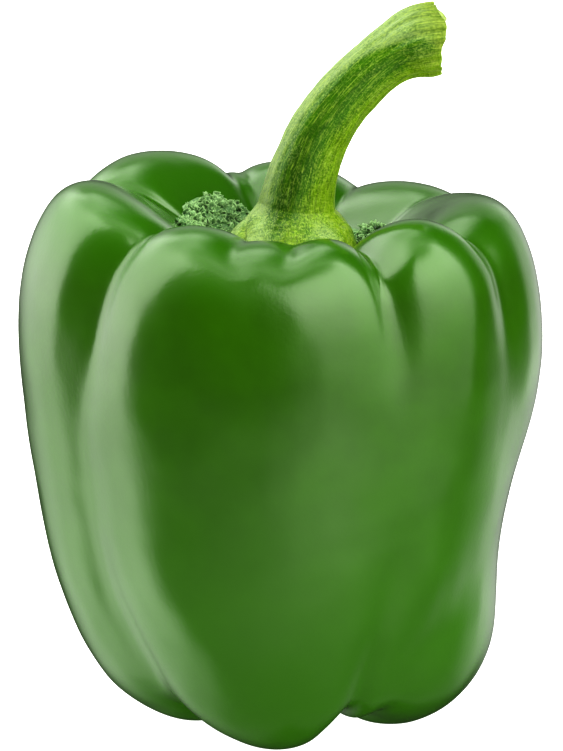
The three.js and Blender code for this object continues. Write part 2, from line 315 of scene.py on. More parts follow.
# Waxy pepper skin: a thin clear wax over green flesh. Smooth enough for soft highlights with a
# blurred edge, with a fine orange-peel grain and a faint mottle of lighter green.
WAX_IOR = 1.5
WAX_ROUGHNESS = 0.28
WAX_SHEEN_ROUGHNESS = 0.14
SKIN_GREEN = "#335F00"
SKIN_LIGHT_GREEN = "#3B6B00"
SKIN_PAINTED_LIGHT_GREEN = "#3A7001"  # painted light: paler at the top and the foot
PAINTED_LIGHT_TOP = (82 * MM, 93 * MM)  # heights between which it pales towards the top
PAINTED_LIGHT_FOOT = (70 * MM, 25 * MM)  # and towards the foot
PAINTED_LIGHT_FOOT_SHARE = 0.7
UNDER_WAX_TINT = "#F5FFDE"  # light caught just under the wax comes back greenish
MOTTLE_SIZE = 9.0 * MM
MOTTLE_DETAIL = 3.0
LIGHT_MOTTLE = ((0.35, 0.7), 0.7)  # where its noise is between these, and up to what share
PEEL_SIZE = 0.7 * MM  # the orange-peel grain
PEEL_DETAIL = 2.0
PEEL_DEPTH = 0.014 * MM

skin = finish_named("waxy_pepper_skin")
place = node(skin, "ShaderNodeTexCoord").outputs["Object"]
mottle = node(skin, "ShaderNodeTexNoise", {
    "Vector": place, "Scale": 1 / MOTTLE_SIZE, "Detail": MOTTLE_DETAIL}).outputs["Fac"]
level = node(skin, "ShaderNodeSeparateXYZ", {"Vector": place}).outputs["Z"]
green = tinted(skin, SKIN_GREEN, mottle, *LIGHT_MOTTLE, SKIN_LIGHT_GREEN)
# Painted light: the green is paler towards the top and towards the foot.
painted_light = calculate(skin, "MAXIMUM", ramp(skin, level, PAINTED_LIGHT_TOP),
                  ramp(skin, level, PAINTED_LIGHT_FOOT, (0.0, PAINTED_LIGHT_FOOT_SHARE)))
green = mix(skin, painted_light, green, SKIN_PAINTED_LIGHT_GREEN)
grain = node(skin, "ShaderNodeTexNoise", {
    "Vector": place, "Scale": 1 / PEEL_SIZE, "Detail": PEEL_DETAIL}).outputs["Fac"]
peel = node(skin, "ShaderNodeBump", {
    "Height": grain, "Strength": 1.0, "Distance": PEEL_DEPTH}).outputs["Normal"]
wax = node(skin, "ShaderNodeBsdfPrincipled", {
    "Base Color": green, "Roughness": WAX_ROUGHNESS, "IOR": WAX_IOR,
    "Specular Tint": linear(UNDER_WAX_TINT),
    "Coat Weight": 1.0, "Coat Roughness": WAX_SHEEN_ROUGHNESS, "Coat IOR": WAX_IOR,
    "Normal": peel, "Coat Normal": peel})
node(skin, "ShaderNodeOutputMaterial", {"Surface": wax.outputs["BSDF"]})

pod_piece, _ = grown_piece("pod_skin", [pod], skin, poles=(True, True))
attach(pod_piece, "root")
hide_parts("fruit")


# The stem and its calyx
# A thick, fibrous green stalk with five soft ribs. It bends over to the right and ends in a flared
# cut with a ragged lip; its foot widens into the calyx, a pale collar that lies in the hollow.
STEM_LINE = np.array((
    (-0.4, 80.0, 8.0), (-0.4, 86.0, 7.4), (-0.2, 92.0, 6.5), (1.1, 98.2, 5.75), (3.6, 104.4, 5.35),
    (7.1, 109.7, 5.0), (11.4, 114.5, 4.8), (15.9, 118.1, 4.7), (20.1, 120.3, 6.35),
    (24.0, 120.8, 5.95), (29.0, 120.8, 5.95),
))  # middle (x, z) and radius of each cut through it
STEM_FROM, STEM_TO = 1.98, 9.0  # places along that line
STEM_COLUMNS = 230
STEM_ROWS = 240
RIBS, RIB_DEPTH, RIB_PHASE = 5, 0.02, 0.6  # depth as a share of the radius
FIBRE_RIDGES = ((9, 0.007, 0.3), (14, 0.007, 1.9), (23, 0.004, 4.0))  # number round, share, phase
FIBRE_WANDER, FIBRE_WANDER_PACE = 0.5, 1.3  # they wander a little on their way along
TIP_FROM, TIP_LENGTH = 6.6, 1.6  # from here on the ridges deepen towards the cut
TIP_RIDGES = 2.6  # times their own depth, added there
STEM_SWELLS = ((7.0, 0.13), (2.2, 0.035))  # length and height of its unevenness
STEM_SEED = 40
LIP_FROM, LIP_LENGTH = 8.0, 1.0  # places along the line that the lip's shape moves
LIP_WAVES = ((3, 0.16, 2.2), (7, 0.13, 0.4), (12, 0.09, 1.1), (19, 0.05, 3.0))  # number, mm, phase
TONGUE, TONGUE_AT, TONGUE_WIDTH = 0.9, 0.43, 0.28  # a part of the lip that sticks out, near the top
LIP_ROUNDING = 0.8  # how far the top of the lip falls back
ROUND_TOP = (0.6, 0.4)  # from there on and over what height, where 1 is the top of the stalk
ROUND_UNDERSIDE, UNDERSIDE_SHARE = (0.3, 0.6), 0.6  # and below its middle
COLLAR_REACH = 1.62  # place on the pod where the collar ends
COLLAR_NARROWER = (85, 60, 0.22)  # direction, spread in degrees, and by how much
FLOOR_ROWS = 12
COLLAR_ROWS = 70
COLLAR_BULGE = 0.2  # outwards over its own edge
COLLAR_HEIGHT = 3.6  # how steeply its edge rises
COLLAR_FALL = 3.6  # how far down the stalk flares out into it
FLARE, FLARE_RIGHT = 0.9, (80, 55)  # sharpest where the right stub leaves the stalk
SEPALS = ((-72, 22, 1.5), (-16, 20, 1.0), (66, 24, 1.3), (134, 20, 1.3), (-145, 22, 1.3))  # stubs of
# the calyx: direction, half width in degrees, and how far each stands out
SEPAL_NOTCH = 0.55
SEPAL_RISE, SEPAL_UP_STALK = 0.5, 0.35  # shares of that by which each rises and runs up the stalk
FOLD_DEPTH, FOLD_WIDTH = 0.75, 4.0  # the crease beside the front left stub
FOLD_AT, FOLD_TURN, FOLD_END = -42, 50, 0.75  # its direction, turn on the way up, and length
COLLAR_CRINKLES = ((3.0, 0.15, 45), (1.1, 0.06, 46))  # length, height and seed
CUT_ROWS = 34
CUT_HOLLOW = 0.9
CUT_RINGS = ((0.80, 0.25, 0.07), (0.45, 0.12, 0.07), (0.96, 0.25, 0.03))  # rings in the cut and its
# rounded edge: radius as a share, height in mm, and width as a share
PITH_CRINKLE = (1.3, 0.08, 47)  # length, height and seed
PITH_SMOOTH = 3  # its middle third flattens out
GAP = 0.3

stem_directions = np.linspace(-180, 180, STEM_COLUMNS, endpoint=False)
stem_angles = np.radians(stem_directions)


def bell(off, spread):
    """1 in the middle, falling off evenly over the spread to either side."""
    return np.exp(-((off / spread) ** 2))


def hill(azimuth, at, spread):
    """1 towards one direction round the axis, falling off over the spread in degrees."""
    return bell(off_direction(azimuth, at), spread)


def stem_rings(at):
    """Rings of points round the stem at places along its line, and its heading at each."""
    i = np.minimum(at.astype(int), len(STEM_LINE) - 3)
    t = at - i
    x, z, r = sum(w[:, None] * STEM_LINE[i - 1 + k] for k, w in enumerate(spline_weights(t))).T
    slopes = (-((1 - t) ** 2) / 2, (3 * t**2 - 4 * t) / 2, (-3 * t**2 + 2 * t + 1) / 2, t**2 / 2)
    heading = sum(w[:, None] * STEM_LINE[i - 1 + k, :2] for k, w in enumerate(slopes))
    heading /= np.linalg.norm(heading, axis=1, keepdims=True)
    tip = ease((at - TIP_FROM) / TIP_LENGTH)[:, None]
    rib = 1 + RIB_DEPTH * np.cos(RIBS * stem_angles + RIB_PHASE)[None, :]
    for count, depth, phase in FIBRE_RIDGES:
        wander = FIBRE_WANDER * np.sin(at * FIBRE_WANDER_PACE + phase)
        rib = rib + depth * (1 + TIP_RIDGES * tip) * np.cos(
            count * stem_angles[None, :] + phase + wander[:, None])
    rib = rib * r[:, None]
    side = rib * np.sin(stem_angles)
    return np.stack([
        x[:, None] + heading[:, 1:] * side, -rib * np.cos(stem_angles), z[:, None] - heading[:, :1] * side,
    ], axis=-1), heading


lift = np.array([0, 0, GAP])
collar_reach = COLLAR_REACH - COLLAR_NARROWER[2] * hill(stem_directions, *COLLAR_NARROWER[:2])
floor_places = np.linspace(0, 1, FLOOR_ROWS)[:, None] * collar_reach
floor_rows = pod_point(stem_directions[None, :], floor_places) + lift
rim = floor_rows[-1]
stem_places = np.linspace(STEM_FROM, STEM_TO, STEM_ROWS)
rings, headings = stem_rings(stem_places)
for seed, (size, height) in enumerate(STEM_SWELLS, STEM_SEED):
    rings = rings - outward(rings) * (height * swells(rings, size, seed))[..., None]
# The lip: its edge waves in and out along the stem, with one tongue, and is rounded towards the top.
upward_side = -np.sin(stem_angles)
rounding = ease((upward_side - ROUND_TOP[0]) / ROUND_TOP[1])
rounding = rounding + UNDERSIDE_SHARE * ease((-upward_side - ROUND_UNDERSIDE[0]) / ROUND_UNDERSIDE[1])
lip_push = TONGUE * bell(upward_side - TONGUE_AT, TONGUE_WIDTH) - LIP_ROUNDING * rounding
for count, height, phase in LIP_WAVES:
    lip_push = lip_push + height * np.cos(count * stem_angles + phase)
lip_share = ease((stem_places - LIP_FROM) / LIP_LENGTH)[:, None] ** 2
ahead = np.stack([headings[:, 0], np.zeros(STEM_ROWS), headings[:, 1]], axis=-1)
rings = rings + (lip_share * lip_push)[..., None] * ahead[:, None]
# The collar: lobes with notches between them, spread on the floor of the hollow.
rim_radius = np.hypot(rim[:, 0], rim[:, 1])
rim_z = rim[:, 2]
foot_radius = np.hypot(rings[0, :, 0], rings[0, :, 1])
foot_z = rings[0, :, 2]
stubs = sum(reach * hill(stem_directions, at, spread) for at, spread, reach in SEPALS) - SEPAL_NOTCH
flare = FLARE + hill(stem_directions, *FLARE_RIGHT)
t = np.linspace(0, 1, COLLAR_ROWS)[1:-1, None]
bezier = ((1 - t) ** 3, 3 * (1 - t) ** 2 * t, 3 * (1 - t) * t**2, t**3)
collar_r = sum(w * r for w, r in zip(bezier, (
    rim_radius, rim_radius + COLLAR_BULGE + stubs,
    foot_radius + flare + SEPAL_UP_STALK * stubs, foot_radius)))
collar_z = sum(w * z for w, z in zip(bezier, (
    rim_z, rim_z + COLLAR_HEIGHT + SEPAL_RISE * stubs, foot_z - COLLAR_FALL + flare, foot_z)))
fold = hill(stem_directions, FOLD_AT - FOLD_TURN * t, FOLD_WIDTH)
collar_r = collar_r - FOLD_DEPTH * fold * np.sin(np.pi * np.clip(t / FOLD_END, 0, 1))
collar = np.stack([collar_r * np.sin(stem_angles), -collar_r * np.cos(stem_angles), collar_z], axis=-1)
crinkle = sum(height * swells(collar, size, seed) for size, height, seed in COLLAR_CRINKLES)
collar = collar - outward(collar) * (crinkle * np.sin(np.pi * t))[..., None]
# The cut: a rounded lip, two rings of fibres and a shallow hollow in the pith.
end_ahead = ahead[-1]
end_middle = rings[-1].mean(axis=0) - end_ahead * CUT_HOLLOW
s = np.linspace(1, 0, CUT_ROWS)[1:, None]
cut = end_middle + (rings[-1] - end_middle) * s[..., None]
rise = sum(height * bell(s - at, width) for at, height, width in CUT_RINGS)
size, height, seed = PITH_CRINKLE
rise = rise + height * swells(cut, size, seed) * ease(s * PITH_SMOOTH)
cut = cut + rise[..., None] * end_ahead
stem_grid = np.concatenate([floor_rows, collar, rings, cut])

# Where each point would lie if the stalk were straight: its fibres run along this.
middles = stem_grid.mean(axis=1)
row_steps = np.linalg.norm(np.diff(stem_grid, axis=0), axis=-1).mean(axis=1)
straight_length = np.concatenate([[0], np.cumsum(row_steps)])
straight_length -= straight_length[len(floor_rows) + len(collar)]
straight_radius = np.linalg.norm(stem_grid - middles[:, None], axis=-1).mean(axis=1)
straight = np.stack(np.broadcast_arrays(
    straight_radius[:, None] * np.sin(stem_angles), straight_radius[:, None] * np.cos(stem_angles),
    straight_length[:, None]), axis=-1)

# Tints: how pale, dark or yellow the stalk is at each point. The dark stripe is painted shade, and the
# yellow side is the stalk's own yellow-green with painted light from the right; both run along it and
# turn with its bend. The upper side has a painted highlight, the cut end is pale, and so are the ridges
# of the calyx. Across the stalk, -1 is its upper side and 1 its lower.
TINT_PLACES = (2, 3, 4, 5, 6, 7, 8, 9)
# painted highlight: the upper side is paler out to here across it
PAINTED_HIGHLIGHT_TO = (-0.74, -0.8, -0.82, -0.8, -0.72, -0.48, -0.3, 0.2)
# painted shade: a dark stripe along the stalk, centred here across it at each place
PAINTED_SHADE_AT = (-0.36, -0.36, -0.34, -0.22, -0.05, 0.1, 0.33, 0.5)
# the yellow-green side: partly the stalk's own colour, partly painted light from the right
YELLOW_AND_LIT_FROM = (0.1, 0.35, 0.4, 0.45, 0.6, 0.6, 0.35, 0.1)
PAINTED_HIGHLIGHT_EDGE, YELLOW_AND_LIT_EDGE = 0.32, 0.8
PAINTED_SHADE_SHARE, PAINTED_SHADE_WIDTH = 0.95, 0.34
PAINTED_SHADE_FADE_FROM, PAINTED_SHADE_FADE_LENGTH, PAINTED_SHADE_FADE = 3.2, 2.5, 0.7  # the painted shade fades towards the tip
PALE_TIP_FROM, PALE_TIP_LENGTH, PALE_TIP = 7.5, 1.2, 0.3
CALYX_PALE = ((-44, 15), (30, 17), (-84, 16), (112, 26), (160, 16), (-150, 24))  # direction, spread
CALYX_YELLOW = ((58, 16), (-60, 9), (-5, 14), (-110, 14), (-175, 14))
CALYX_ENDS = (0.4, 0.6)  # it gives way to the stalk from here on, over this much of the collar
# the painted shade is weaker on the calyx
CALYX_LESS_PAINTED_SHADE = 0.6


def soft_edge(off, width):
    """Eases from 0 to 1 across an edge of that width."""
    return ease(off / width + 0.5)


below_stalk = len(floor_rows) + len(collar)
row_places = np.concatenate([
    np.full(below_stalk, TINT_PLACES[0], float), stem_places, np.full(len(cut), TINT_PLACES[-1], float)])
on_calyx = np.concatenate([
    np.ones(len(floor_rows)), 1 - ease((t[:, 0] - CALYX_ENDS[0]) / CALYX_ENDS[1]),
    np.zeros(STEM_ROWS + len(cut))])[:, None]
across = np.sin(stem_angles)[None, :]
painted_highlight_to, painted_shade_at, yellow_and_lit_from = (
    np.interp(row_places, TINT_PLACES, values)[:, None] for values in (PAINTED_HIGHLIGHT_TO, PAINTED_SHADE_AT, YELLOW_AND_LIT_FROM))
# Painted highlight along the upper side, then the pale cut end and the calyx's pale ridges.
pale_and_highlight = soft_edge(painted_highlight_to - across, PAINTED_HIGHLIGHT_EDGE)
painted_shade_kept = 1 - PAINTED_SHADE_FADE * ease((row_places - PAINTED_SHADE_FADE_FROM) / PAINTED_SHADE_FADE_LENGTH)
dark = PAINTED_SHADE_SHARE * bell(across - painted_shade_at, PAINTED_SHADE_WIDTH) * painted_shade_kept[:, None]
yellow_and_lit = soft_edge(across - yellow_and_lit_from, YELLOW_AND_LIT_EDGE)
calyx_pale, calyx_yellow = (
    np.clip(sum(hill(stem_directions, at, spread) for at, spread in ridges)[None, :], 0, 1)
    for ridges in (CALYX_PALE, CALYX_YELLOW))
pale_and_highlight = np.maximum(pale_and_highlight, PALE_TIP * ease((row_places - PALE_TIP_FROM) / PALE_TIP_LENGTH)[:, None])
pale_and_highlight = pale_and_highlight * (1 - on_calyx) + calyx_pale * on_calyx
dark = dark * (1 - CALYX_LESS_PAINTED_SHADE * on_calyx)
yellow_and_lit = yellow_and_lit * (1 - on_calyx) + calyx_yellow * on_calyx
tints = np.stack(np.broadcast_arrays(pale_and_highlight, dark, yellow_and_lit), axis=-1)


def point_values(piece, name, values):
    """Stores a value or a vector at each point of a mesh, for its material to read."""
    kind, key = ("FLOAT", "value") if values.ndim == 1 else ("FLOAT_VECTOR", "vector")
    piece.data.attributes.new(name, kind, "POINT").data.foreach_set(key, values.ravel())


def noise(material, vector, stretch, detail=2.0):
    """Smooth noise; stretch is its size in the vector's own units along each axis."""
    squeezed = node(material, "ShaderNodeVectorMath", {
        0: vector, 1: [1 / size for size in stretch]}, operation="MULTIPLY")
    return node(material, "ShaderNodeTexNoise", {
        "Vector": squeezed.outputs["Vector"], "Scale": 1.0, "Detail": detail}).outputs["Fac"]


# Fresh fibrous stalk: a thin dull wax over fibres, so it shines only along its edges. Fine streaks
# run along it, short marks across it, and pale speckles all over; the cut shows its pith.
STALK_GREEN = "#437602"
STALK_YELLOW = "#7FA002"
# dark green of the fine streaks, speckles and hairs, and of the painted shade in the stripe
STALK_STREAK_DARK_AND_SHADE = "#305600"
# painted highlight along the upper side of the stalk
STALK_PAINTED_HIGHLIGHT = "#8CA466"
CALYX_GREEN = "#98B26C"
TIP_PALE = "#768C2C"
SPECKLE = "#B2C456"
PITH = "#BDC494"
PITH_GREEN = "#9CB05C"
STALK_ROUGHNESS = 0.38
STALK_IOR = 1.37
FUZZ, FUZZ_ROUGHNESS, FUZZ_TINT = 0.3, 0.25, "#EEF5D8"  # fine hairs catch the light along the edges
STREAK_SIZE = (0.45, 0.45, 7.0)  # mm across the stalk and along it, as the next four
MARK_SIZE = (1.0, 1.0, 0.33)
PATCH_SIZE = (2.2, 2.2, 4.0)
SPECKLE_SIZE = (0.28, 0.28, 0.34)
HAIR_SIZE = (0.2, 0.2, 3.2)
FINE_DETAIL = 1.0
RAGGED_LIMITS = (0.3, 0.7)
RAGGED_PATCHES, RAGGED_SPECKLES = 0.22, 0.2
FRAYED_LIMITS = (0.1, 0.95)
TIP_PALES = (-5, -1)  # mm along the stalk from the cut
CALYX_PALES = (0.5, -2.5)  # mm along it from the collar
CUT_EDGE = 0.3
# Fine colour: where a pattern's value is between the first two, the tint comes in up to a share.
DARK_STREAKS, YELLOW_STREAKS = ((0.48, 0.64), 0.4), ((0.45, 0.3), 0.3)
DARK_SPECKLES = ((0.45, 0.28), 0.22)
DARK_HAIRS, PALE_HAIRS = ((0.52, 0.68), 0.3), ((0.46, 0.32), 0.4)
STREAKS_IN_SHADE_STRIPE = ((0.35, 0.6), (0.45, 0.9))  # limits, and the shares that they are taken to
PALE_MARKS, MARKS_ON_YELLOW = ((0.5, 0.7), (0.0, 0.4)), ((0.0, 0.5), (0.25, 1.0))
PALE_SPECKLES, SPECKLES_IN_SHADE_STRIPE = ((0.48, 0.75), (0.0, 0.34)), ((0.0, 1.0), (1.0, 0.45))
PITH_PATCHES = (0.35, 0.65)
STREAK_RELIEF = 1.2  # how much more the streaks stand out than the rest
RELIEF_DEPTH = 0.035 * MM

cut_at = straight_length[-len(cut)]
stalk = finish_named("fibrous_stalk")
where = node(stalk, "ShaderNodeAttribute", attribute_name="straight").outputs["Vector"]
along_stalk = node(stalk, "ShaderNodeSeparateXYZ", {"Vector": where}).outputs["Z"]
tint = node(stalk, "ShaderNodeSeparateXYZ", {
    "Vector": node(stalk, "ShaderNodeAttribute", attribute_name="tints").outputs["Vector"]}).outputs
pale_and_highlight_tint, painted_shade_tint, yellow_and_lit_tint = tint["X"], tint["Y"], tint["Z"]
streaks = noise(stalk, where, STREAK_SIZE)
marks = noise(stalk, where, MARK_SIZE)
patches = noise(stalk, where, PATCH_SIZE)
speckles = noise(stalk, where, SPECKLE_SIZE, FINE_DETAIL)
hairs = noise(stalk, where, HAIR_SIZE)
ragged = calculate(stalk, "ADD",
                   ramp(stalk, patches, RAGGED_LIMITS, (-RAGGED_PATCHES, RAGGED_PATCHES)),
                   ramp(stalk, speckles, RAGGED_LIMITS, (-RAGGED_SPECKLES, RAGGED_SPECKLES)))


def frayed(value):
    """A tint with a ragged edge instead of a smooth one."""
    return ramp(stalk, calculate(stalk, "ADD", value, ragged), FRAYED_LIMITS)


def both(first, second):
    """A share that is high only where two are."""
    return calculate(stalk, "MULTIPLY", first, second)


# The yellow-green side: partly the stalk's own colour, partly painted light from the right.
colour = mix(stalk, frayed(yellow_and_lit_tint), STALK_GREEN, STALK_YELLOW)
# Painted shade: the dark stripe, broken up by the streaks.
painted_shade_share = both(frayed(painted_shade_tint), ramp(stalk, streaks, *STREAKS_IN_SHADE_STRIPE))
colour = mix(stalk, painted_shade_share, colour, STALK_STREAK_DARK_AND_SHADE)
colour = tinted(stalk, colour, streaks, *DARK_STREAKS, STALK_STREAK_DARK_AND_SHADE)
colour = tinted(stalk, colour, streaks, *YELLOW_STREAKS, STALK_YELLOW)
tip_limits = [cut_at + before for before in TIP_PALES]
pale_and_highlight_colour = mix(stalk, ramp(stalk, along_stalk, tip_limits), STALK_PAINTED_HIGHLIGHT, TIP_PALE)
pale_and_highlight_colour = mix(stalk, ramp(stalk, along_stalk, CALYX_PALES), pale_and_highlight_colour, CALYX_GREEN)
# Painted highlight along the upper side, with the pale cut end and the calyx's pale ridges.
colour = mix(stalk, frayed(pale_and_highlight_tint), colour, pale_and_highlight_colour)
# The marks show most on the yellow side, and the speckles least in the dark stripe of painted shade.
mark_share = both(ramp(stalk, yellow_and_lit_tint, *MARKS_ON_YELLOW), ramp(stalk, marks, *PALE_MARKS))
colour = mix(stalk, mark_share, colour, SPECKLE)
speckle_share = both(ramp(stalk, painted_shade_tint, *SPECKLES_IN_SHADE_STRIPE), ramp(stalk, speckles, *PALE_SPECKLES))
colour = mix(stalk, speckle_share, colour, SPECKLE)
colour = tinted(stalk, colour, speckles, *DARK_SPECKLES, STALK_STREAK_DARK_AND_SHADE)
colour = tinted(stalk, colour, hairs, *DARK_HAIRS, STALK_STREAK_DARK_AND_SHADE)
colour = tinted(stalk, colour, hairs, *PALE_HAIRS, SPECKLE)
pith = mix(stalk, ramp(stalk, patches, PITH_PATCHES), PITH, PITH_GREEN)
colour = mix(stalk, ramp(stalk, along_stalk, (cut_at, cut_at + CUT_EDGE)), colour, pith)
relief = calculate(stalk, "ADD", both(streaks, STREAK_RELIEF), calculate(stalk, "ADD", marks, speckles))
uneven = node(stalk, "ShaderNodeBump", {"Height": relief, "Strength": 1.0, "Distance": RELIEF_DEPTH})
fibres = node(stalk, "ShaderNodeBsdfPrincipled", {
    "Base Color": colour, "Roughness": STALK_ROUGHNESS, "IOR": STALK_IOR,
    "Sheen Weight": FUZZ, "Sheen Roughness": FUZZ_ROUGHNESS, "Sheen Tint": linear(FUZZ_TINT),
    "Normal": uneven.outputs["Normal"]})
node(stalk, "ShaderNodeOutputMaterial", {"Surface": fibres.outputs["BSDF"]})

stem_piece, used = grown_piece("stem_and_calyx", [stem_grid], stalk, inward=True, poles=(True, True))
point_values(stem_piece, "straight", straight.reshape(-1, 3)[used])
point_values(stem_piece, "tints", tints.reshape(-1, 3)[used])
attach(stem_piece, "root")
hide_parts("stem")


# The crust round the calyx
# Dry, crinkled grey-green tissue left where the flower's parts withered: a mass of small curls that
# lies in the hollow against the calyx, high on the left and thin on the right.
CRUST_FROM, CRUST_TO = 1.68, 2.0  # places on the pod
CRUST_WIDER_LEFT = (-116, 52, 0.52)  # direction, spread in degrees, and by how much
CRUST_LEAST = 0.15  # height of the mound on the right
CRUST_HILLS = ((-126, 34, 0.8), (-130, 10, 0.8))  # direction, spread and height of its thick part
CRUST_FULLNESS = 0.7
CRUST_SKIN = 0.35
CRUST_EDGES = 8  # it thins out over an eighth of its width
CRUST_SWELL_SIZE, CRUST_SWELL, CRUST_SWELL_SEED = 1.8, 0.5, 24
CRUST_COLUMNS = 360
CRUST_ROWS = 34
UNDERSIDE_STEP = 8  # its underside needs only every eighth row
BED_PAINTED_SHADE_LEVEL = 0.25  # the bed gets the painted shade of a flake at this share of its height
FLAKES = 380
FLAKE_SEED = 27
FLAKES_LEFT, FLAKES_RIGHT = 0.83, 0.11  # shares of them in the thick part and on the right
LEFT_MIDDLE, LEFT_SPREAD, LEFT_ENDS = -118, 32, (-172, -50)
RIGHT_MIDDLE, RIGHT_SPREAD = 118, 13
FLAKE_PLACES = (0.06, 0.97)  # shares of the crust's width
FLAKES_WIDER_RIGHT = (116, 20, 0.35)
FLAKE_SINK = 0.1
FLAKE_LEAN = 0.55
FLAKE_SIDE = (0.3, 1.0, 0.0)  # a level direction, from which the two across it are found
FLAKE_RADIUS = (0.4, 1.0)
FLAKE_FOOT, FLAKE_FLARE = 0.3, 0.7  # its foot's share of that, and how fast it opens
FLAKE_HEIGHT = (0.5, 1.15)
FLAKE_SKIN = 0.11
FLAKE_RIM = 0.02  # the inner wall stands this much higher
FLAKE_OVAL = 0.3
FLAKE_WAVES = ((3, 0.22), (7, 0.15))  # number round and depth, as a share, at its rim
RIM_WAVES, RIM_DEPTH = 4, 0.3  # up and down
# painted shade: inside a cup, its wall is drawn as at this share of its height
INSIDE_SHADE = 0.9
FLAKE_COLUMNS, FLAKE_WALL = 20, 5


def crust_edge(azimuth):
    """Place on the pod where the crust ends outwards."""
    at, spread, wider = CRUST_WIDER_LEFT
    return CRUST_TO + wider * hill(azimuth, at, spread)


def crust_height(azimuth, share):
    """Height of the mound that the flakes stand on, over its width from the collar outwards."""
    top = sum((height * hill(azimuth, at, spread) for at, spread, height in CRUST_HILLS), CRUST_LEAST)
    return top * np.sin(np.pi * share) ** CRUST_FULLNESS


crust_directions = np.linspace(-180, 180, CRUST_COLUMNS, endpoint=False)[None, :]
share = np.linspace(0, 1, CRUST_ROWS)[:, None]
bed = pod_point(crust_directions, CRUST_FROM + (crust_edge(crust_directions) - CRUST_FROM) * share) + lift
lumps = 1 + CRUST_SWELL * swells(bed, CRUST_SWELL_SIZE, CRUST_SWELL_SEED)
top = bed.copy()
top[..., 2] += (
    CRUST_SKIN * np.minimum(share * CRUST_EDGES, 1) * np.minimum((1 - share) * CRUST_EDGES, 1)
    + crust_height(crust_directions, share) * lumps)
crust_grid = np.concatenate([top, bed[::-UNDERSIDE_STEP]])

# The flakes: small cups with wavy rims, leaning every way.
rng = np.random.default_rng(FLAKE_SEED)
chance = rng.uniform(size=FLAKES)
on_left = np.clip(rng.normal(LEFT_MIDDLE, LEFT_SPREAD, FLAKES), *LEFT_ENDS)
on_right = rng.normal(RIGHT_MIDDLE, RIGHT_SPREAD, FLAKES)
anywhere = rng.uniform(-180, 180, FLAKES)
flake_directions = np.where(chance < FLAKES_LEFT, on_left,
                            np.where(chance < FLAKES_LEFT + FLAKES_RIGHT, on_right, anywhere))
flake_share = rng.uniform(*FLAKE_PLACES, FLAKES)
at, spread, wider = FLAKES_WIDER_RIGHT
flake_edge = crust_edge(flake_directions) + wider * hill(flake_directions, at, spread)
foot = pod_point(flake_directions, CRUST_FROM + (flake_edge - CRUST_FROM) * flake_share) + lift
foot[:, 2] += crust_height(flake_directions, flake_share) - FLAKE_SINK
upright = np.stack([*(FLAKE_LEAN * rng.normal(size=(2, FLAKES))), np.ones(FLAKES)], axis=-1)
upright /= np.linalg.norm(upright, axis=1, keepdims=True)
side = np.cross(upright, FLAKE_SIDE)
side /= np.linalg.norm(side, axis=1, keepdims=True)
other = np.cross(upright, side)
turn = np.linspace(0, 2 * np.pi, FLAKE_COLUMNS, endpoint=False)[None, None, :]
rise = np.linspace(0, 1, FLAKE_WALL)[None, :, None]
oval_phase, *wave_phases, rim_phase = rng.uniform(0, 2 * np.pi, (4, FLAKES, 1, 1))
wavy = 1 + FLAKE_OVAL * np.sin(2 * turn + oval_phase) + rise * sum(
    depth * np.sin(count * turn + phase) for (count, depth), phase in zip(FLAKE_WAVES, wave_phases))
opening = FLAKE_FOOT + (1 - FLAKE_FOOT) * rise**FLAKE_FLARE
width = rng.uniform(*FLAKE_RADIUS, (FLAKES, 1, 1)) * opening * wavy
rim_wave = 1 + RIM_DEPTH * rise * np.sin(RIM_WAVES * turn + rim_phase)
tall = rng.uniform(*FLAKE_HEIGHT, (FLAKES, 1, 1)) * rise * rim_wave
walls = [(width, tall), ((width - FLAKE_SKIN)[:, ::-1], (tall + FLAKE_RIM)[:, ::-1])]
cups = np.concatenate([
    foot[:, None, None] + w[..., None] * (np.cos(turn)[..., None] * side[:, None, None]
                                         + np.sin(turn)[..., None] * other[:, None, None])
    + h[..., None] * upright[:, None, None] for w, h in walls], axis=1)
# Painted light and shade on each cup: dark at its foot, pale at its rim, a little darker inside.
cup_painted_light = np.concatenate([rise, rise[:, ::-1] * INSIDE_SHADE], axis=1) + np.zeros(cups.shape[:3])

# Dry crinkled tissue: matt and grey-green, with painted shade deep in its folds and a painted highlight on
# its crests.
TISSUE_GREEN = "#668F5C"
TISSUE_LIGHT = "#92B280"
TISSUE_PAINTED_SHADE = "#3C6E2E"
TISSUE_PAINTED_HIGHLIGHT = "#B4D696"
TISSUE_GRIT = "#A8B888"
TISSUE_ROUGHNESS = 0.5
TISSUE_IOR = 1.45
TISSUE_PATCH_SIZE = 2.0 * MM
GRIT_SIZE = 0.35 * MM
GRIT_DEPTH = 0.05 * MM
LIGHT_PATCHES = ((0.35, 0.65), 1.0)  # limits and share of each tint, as on the stalk
OUT_OF_PAINTED_SHADE = ((0.0, 0.5), 1.0)
PAINTED_HIGHLIGHT_ON_CRESTS = ((0.62, 1.0), 0.65)
PALE_GRIT = ((0.5, 0.75), 0.4)

tissue = finish_named("dry_crust_tissue")
# The share of a flake's height at each point sets its painted shade and painted highlight.
depth = node(tissue, "ShaderNodeAttribute", attribute_name="rise").outputs["Fac"]
place = node(tissue, "ShaderNodeTexCoord").outputs["Object"]
patches = noise(tissue, place, (TISSUE_PATCH_SIZE,) * 3)
grit = noise(tissue, place, (GRIT_SIZE,) * 3, FINE_DETAIL)
lit = tinted(tissue, TISSUE_GREEN, patches, *LIGHT_PATCHES, TISSUE_LIGHT)
